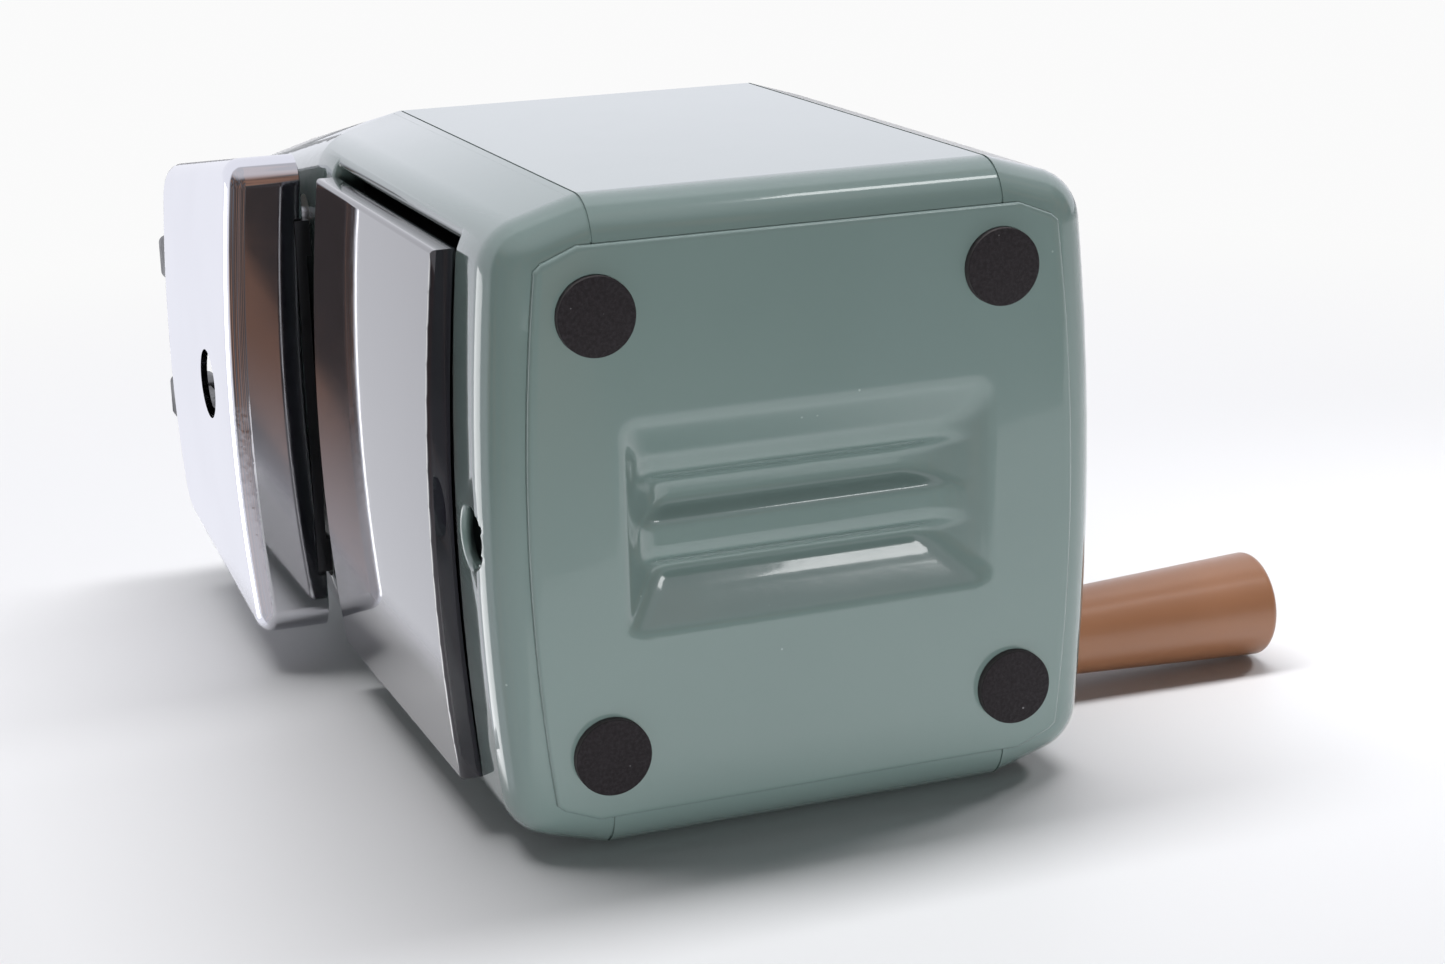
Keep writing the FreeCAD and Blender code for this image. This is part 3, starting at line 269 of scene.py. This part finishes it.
def place_group(tree, group, **inputs):
    """Place a node group in a tree with its own values, and give its one output."""
    node = tree.nodes.new("ShaderNodeGroup")
    node.node_tree = group
    return plug(tree, node, **inputs).outputs[0]


def grain(tree, scale, detail=2.0, rough=0.5):
    """The height of a fine grain of this many lumps per metre."""
    return place_group(tree, grain_noise, Scale=scale, Detail=detail, Roughness=rough)


def bump(tree, bsdf, height, strength, distance):
    """Raise the surface by a height, over this distance in metres."""
    rise = wire(tree, "Bump", Strength=strength, Distance=distance, Height=height)
    plug(tree, bsdf, Normal=rise.outputs["Normal"])


enamel, tree, coat = shader("sage_enamel")
green = blend_colour(tree, span(tree, grain(tree, 22), 0.3, 0.7, 0, 1), ENAMEL_DEEP, ENAMEL_PALE)
nibs = place_group(tree, round_specks, Per_Metre=420, Share=0.09, Radius=0.07)
plug(tree, coat, Base_Color=blend_colour(tree, nibs, green, NIB_COLOUR),
     Roughness=span(tree, grain(tree, 160), 0.3, 0.7, 0.09, 0.13),
     IOR=1.55, Coat_Weight=0.9, Coat_Roughness=0.03)
bump(tree, coat, grain(tree, 900), 0.03, 0.0002)


def dress(material, *names):
    """Give CAD nodes this material on every slot."""
    for name in names:
        for holder in nodes[name].material_slots:
            holder.material = material


dress(enamel, "rear_cover", "body_wrap")


def merged_copy(name):
    """A CAD node's mesh as one closed surface, in place."""
    shape = bmesh.new()
    shape.from_mesh(nodes[name].data)
    bmesh.ops.transform(shape, matrix=nodes[name].matrix_world, verts=shape.verts)
    bmesh.ops.remove_doubles(shape, verts=shape.verts, dist=1e-6)
    return shape


def softened(name, wanted, width, steps):
    """A merged copy of a CAD node whose wanted sharp edges are rounded over, to stand in for it."""
    flat_angle, sharp_angle = math.radians(0.2), math.radians(50)
    shape = merged_copy(name)
    bmesh.ops.dissolve_limit(shape, angle_limit=flat_angle, verts=shape.verts, edges=shape.edges)
    edges = [edge for edge in shape.edges if len(edge.link_faces) == 2
             and edge.calc_face_angle(0) > sharp_angle and wanted(*(point.co for point in edge.verts))]
    bmesh.ops.bevel(shape, geom=edges, offset=width, segments=steps, affect="EDGES", profile=0.5, material=-1)
    piece = finish_mesh(f"{name}_softened", shape, smooth=32)
    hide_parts(name)
    return piece


CLAMP_HEIGHT, CLAMP_RIM, FRONT_SKIN = 0.0078, 0.0034, -0.0335


def around_clamp_hole(first, second):
    """Whether an edge of the front lies on the outer rim of the clamp hole."""
    return all(point.y < FRONT_SKIN and math.hypot(point.x, point.z - CLAMP_HEIGHT) < CLAMP_RIM
               for point in (first, second))


cover = softened("front_cover", around_clamp_hole, 0.0005, 3)
cover.data.materials.append(enamel)
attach(cover, "casing")

# Behind each seam a painted joggle of the neighbouring sheet closes the gap a little under the surface. Its
# line starts at the rim, turns up the side, leans in at the bend, and rounds over into the top.
INSET, RIM_HEIGHT = 0.00022, 0.0018
SEAM, JOGGLE_WIDTH, JOGGLE_SHEET = 0.0219, 0.0018, 0.0004
half, bend, top_half, roof = 0.0336 - INSET, 0.070, 0.0234 - INSET, 0.120 - INSET
rim_round, roof_round = 0.0045 - INSET, 0.0040
lean = math.atan2(half - top_half, roof - bend)
corner_x = top_half + math.sin(lean) * roof_round * 0.7 - roof_round * math.cos(lean)
profile = [(half - rim_round + rim_round * math.sin(math.radians(turn)),
            RIM_HEIGHT + INSET + rim_round - rim_round * math.cos(math.radians(turn)))
           for turn in range(0, 91, 15)]
profile.append((half, bend))
ROOF_STEPS = 5
for step in range(ROOF_STEPS + 1):
    tip = lean + (math.pi / 2 - lean) * step / ROOF_STEPS
    profile.append((corner_x + roof_round * math.cos(tip), roof - roof_round + roof_round * math.sin(tip)))
outline = profile + [(-x, z) for x, z in reversed(profile)]


def new_points(geometry):
    """The vertices among the geometry that an operator gives back."""
    return [item for item in geometry if isinstance(item, bmesh.types.BMVert)]


for label, seam in (("front", -SEAM), ("rear", SEAM)):
    joggle = bmesh.new()
    line = [joggle.verts.new((x, seam - JOGGLE_WIDTH / 2, z)) for x, z in outline]
    edges = [joggle.edges.new(pair) for pair in zip(line, line[1:])]
    strip = bmesh.ops.extrude_edge_only(joggle, edges=edges)["geom"]
    bmesh.ops.translate(joggle, vec=(0, JOGGLE_WIDTH, 0), verts=new_points(strip))
    bmesh.ops.recalc_face_normals(joggle, faces=joggle.faces)
    top_face = max(joggle.faces, key=lambda face: face.calc_center_median().z)
    if top_face.normal.z < 0:
        bmesh.ops.reverse_faces(joggle, faces=joggle.faces)
    band = finish_mesh(f"seam_joggle_{label}", joggle, smooth=40)
    band.data.materials.append(enamel)
    wall = band.modifiers.new("wall", "SOLIDIFY")
    wall.thickness = JOGGLE_SHEET
    wall.offset = -1
    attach(band, "casing")


# ---- base plate -------------------------------------------------------------------------------------------
# Pressed from one steel sheet and enamelled like the shell. The recess in its middle has sloped walls and
# two long channels that stiffen it; the sheet's cut edge is rounded over by the enamel.

HALF_X, HALF_Y, SHEET, EDGE = 0.02935, 0.0279, 0.0008, 0.00035
END_BULGE, BULGE_REACH = 0.0019, 27.5
CORNER_CUTS = ((22, 0.02900, 0.02330), (45, 0.0283, 0.02615), (67, 0.0272, 0.02755))
# depth of the recess at places across it, and its two end walls as (where they start, slope), all in mm
CHANNELS = ((-11.0, 0), (-10.3, 0.25), (-7.3, 3.0), (-7.1, 3.15), (-5.5, 4.75), (-5.1, 5.0), (-4.7, 4.9),
            (-3.7, 3.2), (-2.6, 3.0), (-0.4, 3.1), (0.2, 3.4), (1.2, 5.2), (1.8, 5.5), (3.4, 5.5),
            (4.0, 5.2), (5.1, 3.2), (5.8, 2.95), (7.0, 2.8), (7.6, 2.5), (11.0, 0.35), (12.0, 0))
REAR_WALL, FRONT_WALL = (20.2, 0.85), (19.8, 1.1)
DIE_ROUND, END_ROUND, LIP_EASE = 0.08, 1.5, 0.35


def depth_across(x):
    """Depth of the recess in mm, x mm from its centre line, with every corner rounded by the die."""
    reach = range(-4, 5)
    total = 0
    for step in reach:
        at = x + step * DIE_ROUND
        for (low, first), (high, last) in zip(CHANNELS, CHANNELS[1:]):
            if low <= at <= high:
                total += first + (last - first) * (at - low) / (high - low)
    return total / len(reach)


def lesser(first, second, soft):
    """The smaller of two heights, rounded over where they meet."""
    mix = max(soft - abs(first - second), 0) / soft
    return min(first, second) - mix * mix * soft / 4


pressing = bmesh.new()
bmesh.ops.create_grid(pressing, x_segments=236, y_segments=104, size=1)
bmesh.ops.scale(pressing, vec=(HALF_X - EDGE, HALF_Y - EDGE, 1), verts=pressing.verts)
for sign_x in (-1, 1):
    for sign_y in (-1, 1):
        for angle, reach_x, reach_y in CORNER_CUTS:
            turn = math.radians(angle)
            bmesh.ops.bisect_plane(pressing, geom=pressing.verts[:] + pressing.edges[:] + pressing.faces[:],
                                   plane_co=(sign_x * reach_x, sign_y * reach_y, 0), clear_outer=True,
                                   plane_no=(sign_x * math.cos(turn), sign_y * math.sin(turn), 0))
plate_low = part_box("base_plate")[0].z
for point in pressing.verts:
    x, y = point.co.x * 1000, point.co.y * 1000
    start, slope = REAR_WALL if y > 0 else FRONT_WALL
    depth = max(lesser(depth_across(x), (start - abs(y)) * slope, END_ROUND), 0)
    depth *= depth / (depth + LIP_EASE)
    bulge = max(1 - (x / BULGE_REACH) ** 2, 0) * (abs(y) / (HALF_Y * 1000)) ** 6
    point.co.y += math.copysign(END_BULGE * bulge, y)
    point.co.z = plate_low + depth / 1000
rim = [edge for edge in pressing.edges if edge.is_boundary]
out, up = 0, 0
for angle in (30, 60, 90):
    turn = math.radians(angle)
    grown = bmesh.ops.extrude_edge_only(pressing, edges=rim)["geom"]
    rim = [item for item in grown if isinstance(item, bmesh.types.BMEdge) and item.is_boundary]
    step = EDGE * math.sin(turn) - out
    rise = EDGE * (1 - math.cos(turn)) - up
    bmesh.ops.scale(pressing, vec=(1 + step / HALF_X, 1 + step / HALF_Y, 1), verts=new_points(grown))
    bmesh.ops.translate(pressing, vec=(0, 0, rise), verts=new_points(grown))
    out, up = out + step, up + rise
grown = bmesh.ops.extrude_edge_only(pressing, edges=rim)["geom"]
bmesh.ops.translate(pressing, vec=(0, 0, SHEET - EDGE), verts=new_points(grown))
bmesh.ops.recalc_face_normals(pressing, faces=pressing.faces)
if pressing.faces[0].normal.z > 0:
    bmesh.ops.reverse_faces(pressing, faces=pressing.faces)
base = finish_mesh("base_plate_pressing", pressing, smooth=50)
base.data.materials.append(enamel)
sheet = base.modifiers.new("sheet", "SOLIDIFY")
sheet.thickness = SHEET / 2
sheet.offset = -1
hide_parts("base_plate")
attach(base, "casing")


# ---- rubber feet ------------------------------------------------------------------------------------------
# Four punched discs of black-brown rubber sheet, stuck on by hand near the corners of the base plate.

FOOT_PLACES = ((0.0225, -0.0222), (-0.0225, -0.0222), (0.0231, 0.02125), (-0.0221, 0.0226))
FOOT_RADIUS, FOOT_THICK, FOOT_EDGE = 0.004, 0.001, 0.00012
PALE_SIDES_FROM = (0.00005, 0.00014)

rubber, tree, skin = shader("foot_rubber_sheet")
crumb = grain(tree, 2600, 3, 0.7)
dark = blend_colour(tree, span(tree, crumb, 0.35, 0.7, 0, 1), (0.011, 0.0095, 0.0105), (0.024, 0.021, 0.024))
flecks = place_group(tree, round_specks, Per_Metre=1100, Share=0.07, Radius=0.16)
flecked = blend_colour(tree, flecks, dark, (0.20, 0.19, 0.20))
height = wire(tree, "SeparateXYZ", Vector=tree.nodes.new("ShaderNodeTexCoord").outputs["Object"])
# The discs' sides, from just above their outer face up, are coloured paler than the face.
pale_sides = span(tree, height.outputs["Z"], *PALE_SIDES_FROM, 0, 1)
plug(tree, skin, Base_Color=blend_colour(tree, pale_sides, flecked, (0.075, 0.066, 0.068)), Roughness=0.8)
bump(tree, skin, crumb, 0.5, 0.0002)

discs = bmesh.new()
for x, y in FOOT_PLACES:
    made = bmesh.ops.create_cone(discs, cap_ends=True, segments=96, radius1=FOOT_RADIUS, radius2=FOOT_RADIUS,
                                 depth=FOOT_THICK, matrix=Matrix.Translation((x, y, FOOT_THICK / 2)))
    rims = [edge for edge in discs.edges if all(point in made["verts"] for point in edge.verts)
            and abs(edge.verts[0].co.z - edge.verts[1].co.z) < FOOT_EDGE / 100]
    bmesh.ops.bevel(discs, geom=rims, offset=FOOT_EDGE, segments=3, affect="EDGES", profile=0.5, material=-1)
feet = finish_mesh("rubber_foot_discs", discs, smooth=40)
feet.data.materials.append(rubber)
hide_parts("rubber_feet")
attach(feet, "casing")


# ---- chips drawer -----------------------------------------------------------------------------------------
# The face is gloss black plastic, polished like piano lacquer and glued on; the bin behind it is moulded in
# smoked clear plastic and slides on two rails.

lacquer, tree, face = shader("drawer_black_gloss")
swirl = span(tree, grain(tree, 70), 0.3, 0.7, 0, 1)
plug(tree, face, Base_Color=blend_colour(tree, swirl, (0.008, 0.008, 0.011), (0.014, 0.013, 0.018)),
     Roughness=span(tree, grain(tree, 400, 3), 0.3, 0.8, 0.03, 0.07),
     IOR=1.6, Coat_Weight=1.0, Coat_IOR=1.6, Coat_Roughness=0.02)
dress(lacquer, "drawer_front")

smoke, tree, bin_wall = shader("smoked_plastic")
plug(tree, bin_wall, Roughness=0.12,
     Base_Color=blend_colour(tree, grain(tree, 60), (0.030, 0.030, 0.034), (0.050, 0.048, 0.052)))
dress(smoke, "drawer_bin")


# ---- bright metal -----------------------------------------------------------------------------------------
# The feed unit's face is pressed steel with bright chrome; rods, pins and jaws are ground or plated steel,
# the mechanism's frame is cast in zinc, and its bushes are pressed from bronze powder.

def metal(name, pale, deep, low, high, grain_scale):
    """Metal whose tint and polish vary a little over the piece."""
    material, tree, bsdf = shader(name)
    tint = span(tree, grain(tree, 45), 0.3, 0.7, 0, 1)
    plug(tree, bsdf, Metallic=1.0, Base_Color=blend_colour(tree, tint, pale, deep),
         Roughness=span(tree, grain(tree, grain_scale, 4, 0.6), 0.25, 0.75, low, high))
    return material


chrome = metal("bright_chrome", (0.78, 0.78, 0.82), (0.74, 0.74, 0.78), 0.03, 0.07, 300)
dress(chrome, "feed_plate")
steel = metal("ground_steel", (0.56, 0.56, 0.57), (0.48, 0.48, 0.50), 0.22, 0.38, 900)
dress(steel, "guide_rods", "rod_clips", "jaw_top", "jaw_left", "jaw_right", "lever_pins", "frame_screws",
      "crank_arm", "crank_bolt", "crank_collar", "drive_shaft", "knob_pin", "knob_washer", "helical_cutter",
      "cutter_axle", "cutter_pinion", "ring_gear", "chip_shelf", "drawer_rails", "clamp_socket")
cast = metal("zinc_casting", (0.46, 0.46, 0.48), (0.36, 0.36, 0.38), 0.35, 0.55, 500)
dress(cast, "mechanism_frame", "cutter_carrier")
sintered = metal("sintered_bronze", (0.50, 0.36, 0.20), (0.38, 0.27, 0.15), 0.40, 0.60, 1500)
dress(sintered, "front_bush", "rear_bush")


# ---- feed springs -----------------------------------------------------------------------------------------
# Two coils of bare steel wire on the guide rods. On the sharpener they are pressed together between the rod
# bushes and the clips as the feed unit is drawn out; here they ride along with the feed unit unchanged.

springs = finish_mesh("feed_spring_coils", merged_copy("feed_springs"), smooth=40)
springs.data.materials.append(steel)
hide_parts("feed_springs")
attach(springs, "feed")
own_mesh(springs)


# ---- black and white plastics -----------------------------------------------------------------------------
# The feed unit's back and the two pinch levers are satin black mouldings, and the levers turn on steel pins
# in it. The bushes that the guide rods run in are white nylon, pressed into the front cover.

TAB_UNDERSIDE = (0.1122, 0.1136)
STRIP_X, STRIP_HALF, STRIP_Y = 0.0095, 0.0027, (-0.0409, -0.0387)

black, tree, bsdf = shader("black_moulding")
plug(tree, bsdf, Base_Color=blend_colour(tree, grain(tree, 80), (0.012, 0.012, 0.014), (0.022, 0.022, 0.025)),
     Roughness=span(tree, grain(tree, 700), 0.3, 0.7, 0.28, 0.40))
dress(black, "feed_frame")


def under_tab(first, second):
    """Whether an edge runs round the underside of a finger tab, clear of the strip that it stands on."""
    return all(TAB_UNDERSIDE[0] < point.z < TAB_UNDERSIDE[1]
               and (abs(abs(point.x) - STRIP_X) > STRIP_HALF or not STRIP_Y[0] < point.y < STRIP_Y[1])
               for point in (first, second))


for label in ("left", "right"):
    lever = softened(f"pinch_lever_{label}", under_tab, 0.0006, 3)
    lever.data.materials.append(black)
    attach(lever, f"lever_{label}")

nylon, tree, bsdf = shader("nylon_bush")
plug(tree, bsdf, Roughness=0.4,
     Base_Color=blend_colour(tree, grain(tree, 90), (0.70, 0.69, 0.65), (0.76, 0.75, 0.71)))
dress(nylon, "rod_bushes")


# ---- crank knob -------------------------------------------------------------------------------------------
# Moulded in tan plastic with a satin surface; it turns on the rivet pin at the end of the crank arm.

TAN_DEEP, TAN_PALE = (0.235, 0.108, 0.056), (0.258, 0.120, 0.063)
tan, tree, bsdf = shader("knob_tan_plastic")
tone = span(tree, grain(tree, 60), 0.3, 0.7, 0, 1)
plug(tree, bsdf, Base_Color=blend_colour(tree, tone, TAN_DEEP, TAN_PALE),
     Roughness=span(tree, grain(tree, 900), 0.3, 0.7, 0.32, 0.38), Coat_Weight=0.5, Coat_Roughness=0.3)
dress(tan, "crank_knob")
